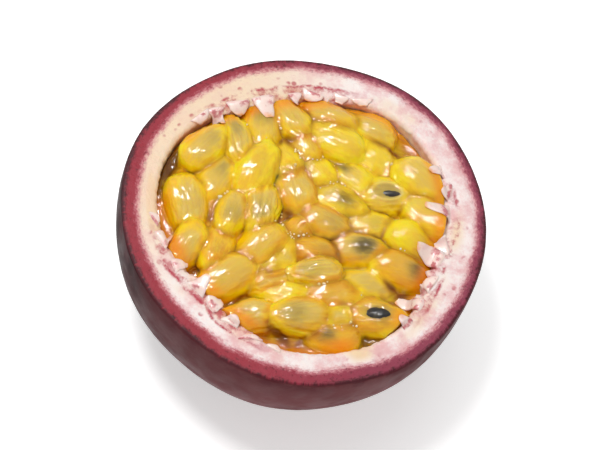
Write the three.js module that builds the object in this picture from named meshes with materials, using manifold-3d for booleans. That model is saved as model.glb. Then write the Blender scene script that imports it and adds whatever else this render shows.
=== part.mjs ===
// Half of a passion fruit, cut straight across its middle and lying cut face up on its rounded end.
// Millimetres, +Z up, origin on the ground under the middle of the fruit.
// The shell is the purple rind with its white pith; the pulp is the juicy mass that fills it, with the
// seed sacs (arils) that crowd its surface.

import * as THREE from "three";
import { mergeVertices } from "three/addons/utils/BufferGeometryUtils.js";
import Module from "manifold-3d";

const manifold = await Module();
manifold.setup();

// ---------------------------------------------------------------- driving dimensions
const CUT_RADIUS = 27; // mean radius of the fruit at its girth
const CUT_HEIGHT = 28.5; // ground to cut face
const GIRTH_DROP = 2.5; // the widest girth lies this far below the cut face
const REST_RADIUS = 4.5; // flat spot that the round end rests on
const DOME_POWER = 2.08; // 2 is an ellipse; a little more fills out the end

const WALL = 5.2; // rind and pith together, between the placentas
const FLOOR = 6.4; // the same at the round end
const PLACENTA_AZIMUTHS = [8, 122, 243]; // degrees; the three strips of pith that carry the seeds
const PLACENTA_SWELL = 1.5; // extra pith on each strip
const PLACENTA_SPREAD = 30; // degrees from the middle of a strip to where the swelling has faded
const RIM_ROUND = 0.5; // outer edge of the cut
const LIP_ROUND = 0.9; // inner edge of the cut
const RIM_WAVE = 0.18; // the knife leaves the cut face this uneven

const FIT_GAP = 0.32; // between the pulp and the shell, so that the two solids stay apart
const BED_DROP = 2.6; // cut face to the bed of pulp that the arils lie in, at the wall
const BED_CROWN = 0.6; // the bed rises this much to the middle
const ROOM_ABOVE = 4; // height above the cut face that the arils may reach into

const ARIL_COUNT = 38;
const ARIL_LENGTH = 9.4;
const ARIL_WIDTH = 5.5;
const ARIL_DEPTH = 5.3;
const ARIL_FULLNESS = 2.15; // 2 is an ellipsoid; a little more is boxier
const ARIL_TAPER = 0.24; // narrower at the end that points to the placenta
const ARIL_SIZE_SPREAD = 0.18;
const ARIL_DROP = 1.8; // cut face to the middle of an aril at the centre of the pulp
const ARIL_EDGE_DROP = 0.4; // how much lower an aril would lie at the girth of the fruit
const ARIL_LIFT_SPREAD = 1.3; // up or down
const ARIL_HEADING_SPREAD = 26; // degrees either side of the line from the placenta
const ARIL_PITCH_SPREAD = 20; // degrees up or down
const ARIL_START_SPREAD = 0.93; // share of the cavity that the arils start out over
const ROOT_NEAR = 12; // arils closer to a placenta than this are lifted and tilted by it
const ROOT_TILT = 14; // degrees
const ROOT_LIFT = 0.9;
const SETTLE_PASSES = 60;
const SETTLE_SHARE = 0.76; // arils are pushed apart until this share of their reaches stays clear
const WALL_SHARE = 0.78; // and this share of an aril's reach stays clear of the wall,
const WALL_CLEARANCE = 1.1; // with this much more midway between placentas
const CLEARANCE_FADE = 1.6; // the clearance is gone where the placenta's share times this reaches 1

// A second layer of arils shows in the gaps of the first.
const LOW_COUNT = 30;
const LOW_DROP = 1.5; // below the first layer
const LOW_START_SPREAD = 0.88;
const LOW_FIRST = 100; // number of its first aril in the draws

// The sacs that the knife opened stay where they are; heading in degrees.
const OPEN_SACS = [
  { x: 14.6, y: -10.3, heading: 193 },
  { x: 9.9, y: 9.1, heading: 203 },
];

const ROUND_STEPS = 56; // facets round the fruit
const OUTER_STEPS = 10; // rings from the flat spot to the girth
const CAVITY_STEPS = 7; // rings from the floor of the cavity to the girth
const ARIL_ROUND = 10;
const ARIL_ALONG = 8;
const LOW_ROUND = 8;
const LOW_ALONG = 6;

// ---------------------------------------------------------------- small helpers
const radians = THREE.MathUtils.degToRad;
const GOLDEN_TURN = Math.PI * (3 - Math.sqrt(5));
const girthHeight = CUT_HEIGHT - GIRTH_DROP;

// A repeatable draw from -1 to 1: number `which` of thing `index`.
function draw(index, which) {
  const wave = Math.sin(index * 12.9898 + which * 78.233 + 2.9) * 43758.5453;
  return 2 * (wave - Math.floor(wave)) - 1;
}

function angleBetween(a, b) {
  const turn = Math.abs(a - b) % (2 * Math.PI);
  return Math.min(turn, 2 * Math.PI - turn);
}

// ---------------------------------------------------------------- outline of the fruit
// Faintly three-lobed and lopsided, as share of the mean radius.
function lobes(azimuth) {
  return (
    1 +
    0.011 * Math.cos(2 * (azimuth - radians(42))) +
    0.011 * Math.cos(3 * (azimuth - radians(62))) +
    0.004 * Math.cos(7 * (azimuth - radians(20)))
  );
}

function girthRadius(azimuth) {
  return CUT_RADIUS * lobes(azimuth);
}

// 1 in the middle of a placenta, fading to 0 between them.
function placentaShare(azimuth) {
  const spread = radians(PLACENTA_SPREAD);
  let share = 0;
  for (const middle of PLACENTA_AZIMUTHS) {
    const off = angleBetween(azimuth, radians(middle)) / spread;
    share += Math.exp(-off * off);
  }
  return share;
}

function cavityGirth(azimuth) {
  return girthRadius(azimuth) - WALL - PLACENTA_SWELL * placentaShare(azimuth);
}

// Share of the girth left at a height, on a dome whose pole is `reach` below the girth.
function domeShare(height, reach) {
  const along = Math.min(1, Math.abs(height - girthHeight) / reach);
  return Math.pow(1 - Math.pow(along, DOME_POWER), 1 / DOME_POWER);
}

// The outer dome would end below the ground; the flat spot cuts it off where its radius is REST_RADIUS.
const outerReach =
  girthHeight /
  Math.pow(1 - Math.pow(REST_RADIUS / CUT_RADIUS, DOME_POWER), 1 / DOME_POWER);
const cavityReach = girthHeight - FLOOR;

function outerRadius(azimuth, height) {
  return girthRadius(azimuth) * domeShare(height, outerReach);
}

// Radius of the cavity, or of what fills it with a gap to spare.
function cavityRadius(azimuth, height, gap = 0) {
  return (cavityGirth(azimuth) - gap) * domeShare(height, cavityReach - gap);
}

function cutWave(azimuth) {
  return RIM_WAVE * (Math.sin(2 * azimuth + 0.7) + 0.5 * Math.sin(5 * azimuth + 2));
}

// ---------------------------------------------------------------- rings into closed surfaces
// A ring is a function from azimuth to { radius, height }. The surface runs from the low pole through the
// rings in order to the last pole, and faces outwards when the rings climb the outside first.
function closedSurface(lowPole, rings, lastPole) {
  const places = [0, 0, lowPole];
  for (const ring of rings)
    for (let step = 0; step < ROUND_STEPS; step++) {
      const azimuth = (2 * Math.PI * step) / ROUND_STEPS;
      const { radius, height } = ring(azimuth);
      places.push(radius * Math.cos(azimuth), radius * Math.sin(azimuth), height);
    }
  places.push(0, 0, lastPole);
  const last = places.length / 3 - 1;
  const top = rings.length - 1;
  const corner = (row, step) => 1 + row * ROUND_STEPS + (step % ROUND_STEPS);
  const faces = [];
  for (let step = 0; step < ROUND_STEPS; step++) {
    faces.push(0, corner(0, step + 1), corner(0, step));
    for (let row = 0; row < top; row++) {
      const low = corner(row, step);
      const lowNext = corner(row, step + 1);
      const high = corner(row + 1, step);
      const highNext = corner(row + 1, step + 1);
      faces.push(low, lowNext, highNext, low, highNext, high);
    }
    faces.push(corner(top, step), corner(top, step + 1), last);
  }
  const geometry = new THREE.BufferGeometry();
  geometry.setAttribute("position", new THREE.Float32BufferAttribute(places, 3));
  geometry.setIndex(faces);
  return geometry;
}

// Heights spaced evenly round a dome, from the pole side up to the girth.
function domeHeights(reach, from, steps) {
  const start = Math.acos(Math.min(1, (girthHeight - from) / reach));
  const heights = [];
  for (let step = 0; step <= steps; step++) {
    const angle = start + ((Math.PI / 2 - start) * step) / steps;
    heights.push(girthHeight - reach * Math.cos(angle));
  }
  return heights;
}

// ---------------------------------------------------------------- shell
// Up the outside, over the two rounded edges of the cut, and down the cavity.
function shellGeometry() {
  const edgeRadius = (azimuth) => outerRadius(azimuth, CUT_HEIGHT);
  const lipRadius = (azimuth) => cavityRadius(azimuth, CUT_HEIGHT - LIP_ROUND);
  const rings = domeHeights(outerReach, 0, OUTER_STEPS).map((height) => (azimuth) => ({
    radius: outerRadius(azimuth, height),
    height,
  }));
  for (const angle of [0, 45, 90].map(radians))
    rings.push((azimuth) => ({
      radius: edgeRadius(azimuth) - RIM_ROUND * (1 - Math.cos(angle)),
      height: CUT_HEIGHT + cutWave(azimuth) - RIM_ROUND * (1 - Math.sin(angle)),
    }));
  rings.push((azimuth) => ({
    radius: (edgeRadius(azimuth) + lipRadius(azimuth)) / 2,
    height: CUT_HEIGHT + cutWave(azimuth),
  }));
  for (const angle of [90, 45, 0].map(radians))
    rings.push((azimuth) => ({
      radius: lipRadius(azimuth) + LIP_ROUND * (1 - Math.cos(angle)),
      height: CUT_HEIGHT + cutWave(azimuth) - LIP_ROUND * (1 - Math.sin(angle)),
    }));
  for (const height of domeHeights(cavityReach, FLOOR, CAVITY_STEPS).slice(1).reverse())
    rings.push((azimuth) => ({ radius: cavityRadius(azimuth, height), height }));
  return closedSurface(0, rings, FLOOR);
}

// ---------------------------------------------------------------- pulp
// What fits in the cavity: its own form less the gap, carried straight up past the cut face to `top`.
function cavityRoom(top, crown) {
  const mouth = CUT_HEIGHT - LIP_ROUND;
  const heights = domeHeights(cavityReach - FIT_GAP, FLOOR + FIT_GAP, CAVITY_STEPS)
    .slice(1)
    .filter((height) => height < Math.min(top, mouth) - 0.5);
  if (top > mouth) heights.push(mouth);
  heights.push(top);
  const rings = heights.map((height) => (azimuth) => ({
    radius: cavityRadius(azimuth, Math.min(height, mouth), FIT_GAP),
    height,
  }));
  return closedSurface(FLOOR + FIT_GAP, rings, top + crown);
}

// Distance from the middle of an aril to its outline, along a direction seen from above.
function outlineReach(aril, direction) {
  const turn = direction - aril.heading;
  const along = (ARIL_LENGTH / 2) * aril.size;
  const across = (ARIL_WIDTH / 2) * aril.size;
  return (along * across) / Math.hypot(across * Math.cos(turn), along * Math.sin(turn));
}

function keepInCavity(aril, wallShare) {
  const azimuth = Math.atan2(aril.y, aril.x);
  const between = Math.max(0, 1 - CLEARANCE_FADE * placentaShare(azimuth));
  const reach = wallShare * outlineReach(aril, azimuth);
  const limit = cavityGirth(azimuth) - reach - WALL_CLEARANCE * between;
  const radius = Math.hypot(aril.x, aril.y);
  if (radius > limit) {
    aril.x *= limit / radius;
    aril.y *= limit / radius;
  }
}

function pushApart(a, b) {
  const direction = Math.atan2(b.y - a.y, b.x - a.x);
  const apart = Math.hypot(b.x - a.x, b.y - a.y);
  const wanted = SETTLE_SHARE * (outlineReach(a, direction) + outlineReach(b, direction));
  const push = Math.max(0, wanted - apart) / 4;
  a.x -= push * Math.cos(direction);
  a.y -= push * Math.sin(direction);
  b.x += push * Math.cos(direction);
  b.y += push * Math.sin(direction);
}

// Where the nearest placenta's middle meets the outline, and how far off that is.
function nearestRoot(x, y) {
  const roots = PLACENTA_AZIMUTHS.map(radians).map((middle) => {
    const rootX = CUT_RADIUS * Math.cos(middle);
    const rootY = CUT_RADIUS * Math.sin(middle);
    return { x: rootX, y: rootY, away: Math.hypot(x - rootX, y - rootY) };
  });
  return roots.reduce((a, b) => (b.away < a.away ? b : a));
}

// The arils hang from the nearest placenta, so each lies along the line from it, give or take its draw.
function headingAt(x, y, index) {
  const root = nearestRoot(x, y);
  return Math.atan2(y - root.y, x - root.x) + radians(ARIL_HEADING_SPREAD) * draw(index, 1);
}

function pinOpenSacs(arils) {
  for (const sac of OPEN_SACS) {
    const away = (aril) => Math.hypot(aril.x - sac.x, aril.y - sac.y);
    const nearest = arils.reduce((a, b) => (away(b) < away(a) ? b : a));
    nearest.pin = sac;
    nearest.heading = radians(sac.heading);
  }
}

// Arils on a sunflower spiral, which spreads them evenly over the cavity.
function sunflower(number, spread, first) {
  const arils = [];
  for (let step = 0; step < number; step++) {
    const index = first + step;
    const azimuth = index * GOLDEN_TURN;
    const radius = spread * cavityGirth(azimuth) * Math.sqrt((step + 0.5) / number);
    const x = radius * Math.cos(azimuth);
    const y = radius * Math.sin(azimuth);
    const size = 1 + ARIL_SIZE_SPREAD * draw(index, 2);
    arils.push({ index, x, y, size, heading: headingAt(x, y, index) });
  }
  return arils;
}

// Height and pitch, from where the aril has come to lie.
function settleIn(aril) {
  const outward = Math.hypot(aril.x, aril.y) / CUT_RADIUS;
  const near = Math.max(0, 1 - nearestRoot(aril.x, aril.y).away / ROOT_NEAR);
  const drop = ARIL_DROP + ARIL_EDGE_DROP * Math.pow(outward, 3) - ROOT_LIFT * near;
  aril.z = CUT_HEIGHT - drop + ARIL_LIFT_SPREAD * draw(aril.index, 3);
  aril.pitch = radians(ARIL_PITCH_SPREAD) * draw(aril.index, 4) - radians(ROOT_TILT) * near;
}

// The first layer: its arils are pushed apart where they crowd.
function topArils() {
  const arils = sunflower(ARIL_COUNT, ARIL_START_SPREAD, 0);
  pinOpenSacs(arils);
  for (let pass = 0; pass < SETTLE_PASSES; pass++) {
    for (let i = 0; i < ARIL_COUNT; i++) {
      for (let j = i + 1; j < ARIL_COUNT; j++) pushApart(arils[i], arils[j]);
      keepInCavity(arils[i], WALL_SHARE);
    }
    for (const aril of arils)
      if (aril.pin) {
        aril.x = aril.pin.x;
        aril.y = aril.pin.y;
      }
  }
  arils.forEach(settleIn);
  return arils;
}

function lowArils() {
  const arils = sunflower(LOW_COUNT, LOW_START_SPREAD, LOW_FIRST);
  for (const aril of arils) {
    keepInCavity(aril, 1);
    settleIn(aril);
    aril.z -= LOW_DROP;
  }
  return arils;
}

// A drop-shaped sac along +X, pointed at -X, laid in its place.
function arilGeometry(aril, stepsRound, stepsAlong) {
  const geometry = new THREE.SphereGeometry(1, stepsRound, stepsAlong);
  geometry.rotateZ(-Math.PI / 2);
  const place = geometry.getAttribute("position");
  const spot = new THREE.Vector3();
  for (let corner = 0; corner < place.count; corner++) {
    spot.fromBufferAttribute(place, corner);
    const powers = spot.toArray().map((part) => Math.pow(Math.abs(part), ARIL_FULLNESS));
    spot.multiplyScalar(Math.pow(powers[0] + powers[1] + powers[2], -1 / ARIL_FULLNESS));
    const girth = 1 + ARIL_TAPER * spot.x;
    place.setXYZ(
      corner,
      (spot.x * ARIL_LENGTH * aril.size) / 2,
      (spot.y * girth * ARIL_WIDTH * aril.size) / 2,
      (spot.z * girth * ARIL_DEPTH * aril.size) / 2,
    );
  }
  geometry.rotateY(-aril.pitch);
  geometry.rotateZ(aril.heading);
  geometry.translate(aril.x, aril.y, aril.z);
  return geometry;
}

// The bed and every aril in one solid, less what would stand in the pith.
function pulpGeometry() {
  let pulp = solidOf(cavityRoom(CUT_HEIGHT - BED_DROP, BED_CROWN));
  for (const aril of lowArils()) pulp = pulp.add(solidOf(arilGeometry(aril, LOW_ROUND, LOW_ALONG)));
  for (const aril of topArils()) pulp = pulp.add(solidOf(arilGeometry(aril, ARIL_ROUND, ARIL_ALONG)));
  pulp = pulp.intersect(solidOf(cavityRoom(CUT_HEIGHT + ROOM_ABOVE, 0)));
  const bodies = pulp.decompose().sort((a, b) => b.volume() - a.volume());
  return geometryOf(bodies[0]);
}

// ---------------------------------------------------------------- solids for joining and cutting
function solidOf(geometry) {
  geometry.deleteAttribute("normal");
  geometry.deleteAttribute("uv");
  const merged = mergeVertices(geometry, 1e-4);
  return new manifold.Manifold(
    new manifold.Mesh({
      numProp: 3,
      vertProperties: new Float32Array(merged.attributes.position.array),
      triVerts: new Uint32Array(merged.index.array),
    }),
  );
}

function geometryOf(solid) {
  const mesh = solid.getMesh();
  const geometry = new THREE.BufferGeometry();
  geometry.setAttribute("position", new THREE.BufferAttribute(mesh.vertProperties, 3));
  geometry.setIndex(new THREE.BufferAttribute(mesh.triVerts, 1));
  return geometry;
}

// ---------------------------------------------------------------- the part
const shellMaterial = new THREE.MeshStandardMaterial({ color: 0x6b3844, roughness: 0.45, metalness: 0 });
const pulpMaterial = new THREE.MeshStandardMaterial({ color: 0xe3b62b, roughness: 0.15, metalness: 0 });

const shell = new THREE.Mesh(shellGeometry(), shellMaterial);
shell.name = "shell";

const pulp = new THREE.Mesh(pulpGeometry(), pulpMaterial);
pulp.name = "pulp";

// The lobes put the middle of the fruit's box beside the axis of the dome, so the fruit moves over by that.
const middle = new THREE.Box3().setFromObject(shell).getCenter(new THREE.Vector3());
const fruitHalf = new THREE.Group();
fruitHalf.position.set(-middle.x, -middle.y, 0);
fruitHalf.add(shell, pulp);

export default fruitHalf;
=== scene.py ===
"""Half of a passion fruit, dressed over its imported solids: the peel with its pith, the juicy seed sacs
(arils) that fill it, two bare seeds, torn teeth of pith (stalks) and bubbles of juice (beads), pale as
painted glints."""

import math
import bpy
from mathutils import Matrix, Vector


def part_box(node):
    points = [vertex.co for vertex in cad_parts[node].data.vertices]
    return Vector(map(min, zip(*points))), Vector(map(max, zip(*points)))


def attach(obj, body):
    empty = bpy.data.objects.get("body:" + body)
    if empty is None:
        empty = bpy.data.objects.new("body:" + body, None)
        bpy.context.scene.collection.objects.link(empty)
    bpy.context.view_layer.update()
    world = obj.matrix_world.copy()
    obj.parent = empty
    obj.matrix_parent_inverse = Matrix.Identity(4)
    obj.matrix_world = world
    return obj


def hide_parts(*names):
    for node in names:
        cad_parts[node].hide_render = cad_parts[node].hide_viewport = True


bl_info = {
    "name": "Passion fruit half",
    "version": (1, 0, 0),
    "blender": (4, 5, 0),
    "location": "View3D > Sidebar > Passion fruit",
    "description": "Makes the peel, pulp and seeds of half a passion fruit around its packed solids",
    "category": "Add Mesh",
}

from types import SimpleNamespace

import bmesh
import bpy
import numpy as np
from bpy.props import FloatProperty, FloatVectorProperty, IntProperty, PointerProperty
from mathutils import Matrix, Vector

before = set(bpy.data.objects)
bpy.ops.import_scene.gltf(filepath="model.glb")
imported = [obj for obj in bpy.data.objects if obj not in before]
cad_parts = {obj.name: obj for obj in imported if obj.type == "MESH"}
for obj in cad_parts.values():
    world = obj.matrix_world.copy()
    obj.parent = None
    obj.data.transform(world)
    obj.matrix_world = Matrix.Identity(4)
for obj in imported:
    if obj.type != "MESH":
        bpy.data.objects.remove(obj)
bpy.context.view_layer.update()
SHELL_LOW, SHELL_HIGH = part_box("shell")

MM = 0.001
TURN = 2 * math.pi
GOLDEN_TURN = math.pi * (3 - math.sqrt(5))

# ------------------------------------------------------------------ the rule of the fruit's outline
# The same rule as the solids follow: faintly three-lobed, lopsided, thicker at the three placentas.
LOBES = ((2, 42, 0.011), (3, 62, 0.011), (7, 20, 0.004))  # count, azimuth of a crest in degrees, share
CUT_WAVES = ((2, 0.7, 1.0), (5, 2.0, 0.5))  # count, phase, share
PLACENTA_AZIMUTHS = np.radians((8, 122, 243))
PLACENTA_SPREAD = math.radians(30)
PLACENTA_TEETH = (1.0, 0.85, 0.7)  # share of the full length that the torn teeth of each placenta have
DOME_POWER = 2.08
OUTLINE_STEPS = 56
RIM_WAVE = 0.18 * MM


def lobes(azimuth):
    return 1 + sum(share * np.cos(count * (azimuth - math.radians(crest))) for count, crest, share in LOBES)


def waves(azimuth):
    return sum(share * np.sin(count * azimuth + phase) for count, phase, share in CUT_WAVES)


def facing(degrees):
    """The level direction at an azimuth."""
    return (math.cos(math.radians(degrees)), math.sin(math.radians(degrees)), 0.0)


def placenta_share(azimuth):
    """1 in the middle of a placenta, fading to 0 between them."""
    share = 0
    for middle in PLACENTA_AZIMUTHS:
        off = np.abs((azimuth - middle + math.pi) % TURN - math.pi) / PLACENTA_SPREAD
        share = share + np.exp(-off * off)
    return share


def dome_share(drop, reach):
    """Share of the girth left at a drop from it, on a dome whose pole is at `reach`."""
    along = np.minimum(1, np.abs(drop) / reach)
    return (1 - along**DOME_POWER) ** (1 / DOME_POWER)


_round = np.arange(OUTLINE_STEPS) * TURN / OUTLINE_STEPS
_outline = lobes(_round) * np.array((np.cos(_round), np.sin(_round)))
_low, _high = _outline.min(1), _outline.max(1)
CUT_RADIUS = (SHELL_HIGH.x - SHELL_LOW.x) / (_high[0] - _low[0])
MIDDLE = CUT_RADIUS * (_low + _high) / 2  # of the outline's box, which stands over the origin
CUT_HEIGHT = SHELL_HIGH.z - RIM_WAVE * waves(_round).max()
ROOTS = [(CUT_RADIUS * math.cos(a), CUT_RADIUS * math.sin(a)) for a in PLACENTA_AZIMUTHS]

# ------------------------------------------------------------------ places in the pulp
# The sacs that the knife opened: millimetres from the axis of the fruit, and the heading in degrees.
OPEN_SACS = ((14.6, -10.3, 193), (9.9, 9.1, 203))
# The window in each: half its length and width, how deep it sinks and how high its lip stands, in
# millimetres, and how dark its flesh is.
WINDOWS = ((2.0, 1.2, 0.3, 0.0, 0.25), (2.1, 1.35, 0.16, 0.1, 0.45))
# The bare seed in each: share of the full length and width, how far it lies off the middle of the window
# across the sac, in millimetres, and the share of its depth that stands out of the flesh.
BARE_SEEDS = ((0.86, 0.74, 0.0, 0.36), (0.78, 0.36, 0.45, 0.2))
# Seeds that shine through: millimetres from the axis of the fruit, and how clearly each shows.
DARK_SEEDS = (
    (14.6, -10.3, 0.55),
    (9.9, 9.1, 0.3),
    (1.1, 5.8, 0.85),
    (4.8, 10.4, 0.8),
    (10.8, 0.0, 0.8),
    (13.5, -4.1, 0.85),
    (7.2, -18.4, 0.75),
    (-11.9, 10.0, 0.6),
    (-11.8, 0.3, 0.5),
)
LOW_SEEN = 0.15  # how clearly the second layer's seeds show
# Painted shade where the arils leave the wall: azimuth and half width in degrees, and how dark the painted
# shade of the juice is there.
SHADED_WALL_GAPS = ((182, 16, 1.0), (61, 12, 0.45), (319, 16, 0.85))
WALL_SHADE = 0.3  # the same for the rest of the wall
LOW_FIRST = 100  # number of the second layer's first aril in the draws
CLEARANCE_FADE = 1.6  # an aril needs no clearance where the placenta's share times this reaches 1
WARM_SHARE, WARM_REACH = 1.25, 13 * MM  # orange in the flesh at a placenta, and over how far it loses 1
NO_ARIL = {"seen": 0.0, "warm": 0.6, "tone": 0.5}  # an aril's measures, where there is only the bed
BED_BOTTOM = CUT_HEIGHT - 9 * MM
BEAD_BOTTOM = CUT_HEIGHT - 1.8 * MM
UNDERSIDE = CUT_HEIGHT - 5 * MM  # deeper than any gap between the arils shows
LOOKOUT = CUT_HEIGHT + 9 * MM  # height from which rays look down on the pulp
FAR = 5 * MM  # beyond this, nothing touches a corner of the pulp
TOOTH_TURN = math.radians(26)  # a torn tooth points at most this far off the middle of the fruit
BEAD_DRAW = 7  # picks the places of the bubbles


# ------------------------------------------------------------------ what a user may change
def linear(code):
    """A colour as a screen writes it, six hex digits, as linear red, green, blue and alpha."""
    parts = [int(code[i : i + 2], 16) / 255 for i in (0, 2, 4)]
    return (*[p / 12.92 if p <= 0.04045 else ((p + 0.055) / 1.055) ** 2.4 for p in parts], 1.0)


def length(name, millimetres, about):
    return FloatProperty(name=name, description=about, default=millimetres * MM, unit="LENGTH", precision=5)


def share(name, default, about):
    return FloatProperty(name=name, description=about, default=default, subtype="FACTOR")


def number(name, default, about, **kind):
    return FloatProperty(name=name, description=about, default=default, **kind)


def angle(name, degrees, about):
    return FloatProperty(name=name, description=about, default=math.radians(degrees), subtype="ANGLE")


def count(name, default, about):
    return IntProperty(name=name, description=about, default=default, min=1)


def colour(name, code, about):
    return FloatVectorProperty(name=name, description=about, default=linear(code), size=4, subtype="COLOR")


class PeelSizes(bpy.types.PropertyGroup):
    """Sizes of the rind with its pith."""

    girth_drop: length("Girth drop", 2.5, "The widest girth lies this far below the cut face")
    rest_radius: length("Rest radius", 4.5, "Flat spot that the round end rests on")
    wall: length("Wall", 5.2, "Rind and pith together, between the placentas")
    floor: length("Floor", 6.4, "Rind and pith together at the round end")
    swell: length("Placenta swell", 1.5, "Extra pith in the middle of each placenta")
    rim_round: length("Rim round", 0.5, "Radius of the outer edge of the cut")
    lip_round: length("Lip round", 0.9, "Radius of the inner edge of the cut")
    ragged: length("Ragged lip", 0.4, "How far the torn inner edge wanders")
    torn: length("Torn placenta", 1.5, "How far torn tissue stands out from the wall at a placenta")
    dimple: length("Dimples", 0.1, "Depth of the soft dimples in the skin")
    facets: count("Facets", 448, "Steps round the fruit")


class PulpSizes(bpy.types.PropertyGroup):
    """Sizes of the bed of juice and of what lies on it."""

    bed_drop: length("Bed drop", 2.6, "Cut face to the juicy bed at the wall")
    bed_crown: length("Bed crown", 0.6, "The bed rises this much to the middle")
    gap: length("Gap to the pith", 0.12, "Pulp to the wall of the cavity")
    arils: count("Arils", 38, "Seed sacs in the top layer")
    low_arils: count("Low arils", 30, "Seed sacs of a second layer, which shows in the gaps of the first")
    low_drop: length("Low drop", 1.5, "How much lower the second layer lies")
    low_spread: share("Low spread", 0.88, "Share of the cavity that the second layer starts out over")
    aril_length: length("Aril length", 9.4, "Of an average seed sac")
    aril_width: length("Aril width", 5.5, "Of an average seed sac")
    aril_depth: length("Aril depth", 5.3, "Of an average seed sac")
    fullness: number("Fullness", 2.15, "2 is an ellipsoid, more is boxier")
    taper: share("Taper", 0.24, "Narrowing to the end that points to the placenta")
    size_spread: share("Size spread", 0.18, "Larger or smaller by this share")
    drop: length("Aril drop", 1.8, "Cut face to the middle of an aril at the centre")
    edge_drop: length("Edge drop", 0.4, "How much lower an aril would lie at the girth")
    lift_spread: length("Lift spread", 1.3, "Up or down by this much")
    heading_spread: angle("Heading spread", 26, "Either side of the line from the placenta")
    pitch_spread: angle("Pitch spread", 20, "Up or down from level")
    start_spread: share("Start spread", 0.93, "Share of the cavity that the arils start out over")
    settle_passes: count("Settle passes", 60, "Rounds of pushing the arils apart")
    settle_share: share("Settle share", 0.76, "Share of two arils' reaches that stays clear")
    wall_share: share("Wall share", 0.78, "Share of an aril's reach that stays clear of the wall")
    clearance: length("Clearance", 1.1, "Arils to the wall midway between placentas")
    lumps: length("Lumps", 0.35, "Depth of the soft lumps in an aril")
    wrinkles: length("Wrinkles", 0.12, "Depth of the fine wrinkles along an aril")
    root_near: length("Root nearness", 12, "Arils closer to a placenta than this are lifted and tilted by it")
    root_tilt: angle("Root tilt", 14, "The end at the placenta is this much higher in the arils next to it")
    root_lift: length("Root lift", 0.9, "How much higher the arils next to a placenta lie")
    seed_length: length("Seed length", 5.0, "Of a bare seed")
    seed_width: length("Seed width", 2.9, "Of a bare seed")
    seed_depth: length("Seed depth", 1.9, "Of a bare seed")
    seed_pits: length("Seed pits", 0.08, "Depth of the pits in a bare seed")
    tooth_length: length("Tooth length", 3.7, "Of a torn tooth of pith, with its root in the wall")
    tooth_width: length("Tooth width", 3.2, "Of a torn tooth at the wall")
    tooth_root: length("Tooth root", 1.2, "How far a torn tooth reaches into the wall")
    tooth_torn: length("Tooth tears", 0.5, "How far the outline of a torn tooth wanders")
    tooth_spread: angle("Tooth spread", 36, "Either side of the middle of a placenta")
    teeth: count("Teeth", 8, "Torn teeth on each placenta")
    bead: length("Bead", 0.22, "Radius of a bubble of juice")
    beads_each: number("Beads", 3.0, "Bubbles on each square millimetre of crease")
    film: length("Juice film", 0.38, "How far the juice rounds off the creases")
    brim: length("Brim", 0.6, "How far the juice climbs at the wall")
    voxel: length("Grain", 0.19, "Smallest detail of the pulp's skin")


class FruitColours(bpy.types.PropertyGroup):
    """Colours of the fruit."""

    skin: colour("Skin", "271416", "Purple-brown skin")
    # Also the lit side of the skin, as painted light.
    skin_red_and_lit: colour("Red skin", "69373a", "Skin where red shows through")
    skin_dust: colour("Skin bloom", "6a4443", "Pale speckle on the skin")
    rim: colour("Rim", "4c161f", "Cut edge of the skin")
    rim_red: colour("Red rim", "a02e3c", "Middle of the red edge of the pith, on the sunny side")
    rim_crimson: colour("Crimson rim", "93384f", "Middle of the red edge of the pith, on the other side")
    rim_pale: colour("Pale rim", "cf8088", "Where the crimson edge fades into the pith")
    pith: colour("Pith", "fbeeea", "White pith")
    pith_pink: colour("Pink pith", "e6adae", "Pink clouds in the pith")
    pith_cream: colour("Cream pith", "f2d09c", "Pith stained by juice")
    vein: colour("Veins", "bb3a4c", "Red dots and lines in the pith")
    tooth: colour("Torn tooth", "ffe2d8", "Torn tissue on the placentas")
    aril: colour("Aril", "f4ae00", "Golden yellow flesh of a seed sac")
    # Also the painted glow on the sides of each sac.
    aril_pale_and_glow: colour("Pale aril", "ffdd08", "Lightest flesh")
    # Also the painted shade of the lower sacs.
    aril_deep_and_shade: colour("Deep aril", "dc9800", "Flesh of the lower and of the riper seed sacs")
    aril_haze: colour("Cloudy aril", "e0bf5c", "Cloudy flesh around the seed")
    aril_olive: colour("Olive aril", "8c7844", "Flesh right over the seed")
    aril_orange: colour("Orange aril", "ffa000", "Flesh next to the placentas")
    film: colour("Sac film", "f0e08a", "Film along the lip of an opened seed sac")
    # Orange flesh at the wall, painted bright as light over the wall's shade.
    brim: colour("Brim", "fa9a00", "Flesh and juice at the wall of the cavity")
    ember: colour("Ember", "e0600c", "Reddest flesh at the placentas")
    # Painted shade in the creases between the arils.
    juice: colour("Juice", "a65c00", "Juice in the creases between the arils")
    # Painted shade deep between the arils and in the gaps at the wall.
    bed: colour("Bed", "6c4006", "Juice deep between the arils")
    seed: colour("Seed", "1d1b1c", "Wet seed coat")
    seed_brown: colour("Brown seed", "3a3326", "Lighter patches of the seed coat")
    # Pale, so that the bubbles show as painted glints.
    bubble: colour("Bubble", "f8dc88", "Bubbles of juice")
    bubble_glint_pale: colour("Pale bubble", "fff2cc", "Lightest bubbles of juice")
    ground: colour("Ground", "ffffff", "Floor that the fruit lies on, and the light all round")


class StageSettings(bpy.types.PropertyGroup):
    """Where the camera stands, and the light all round."""

    elevation: angle("Elevation", 61, "Of the camera above the ground")
    roll: angle("Roll", 22.5, "Of the camera about its line of sight")
    lens: number("Lens", 200, "Focal length", unit="CAMERA")
    distance: length("Distance", 488, "Camera to the pulp")
    sky: number("Sky", 0.42, "Strength of the light all round")
    glow: number("Glow", 0.42, "How far the floor shines by itself")


def chosen(key):
    """The settings of the peel, the pulp, the colours or the stage."""
    return getattr(bpy.context.scene, "fruit_" + key)


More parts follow.
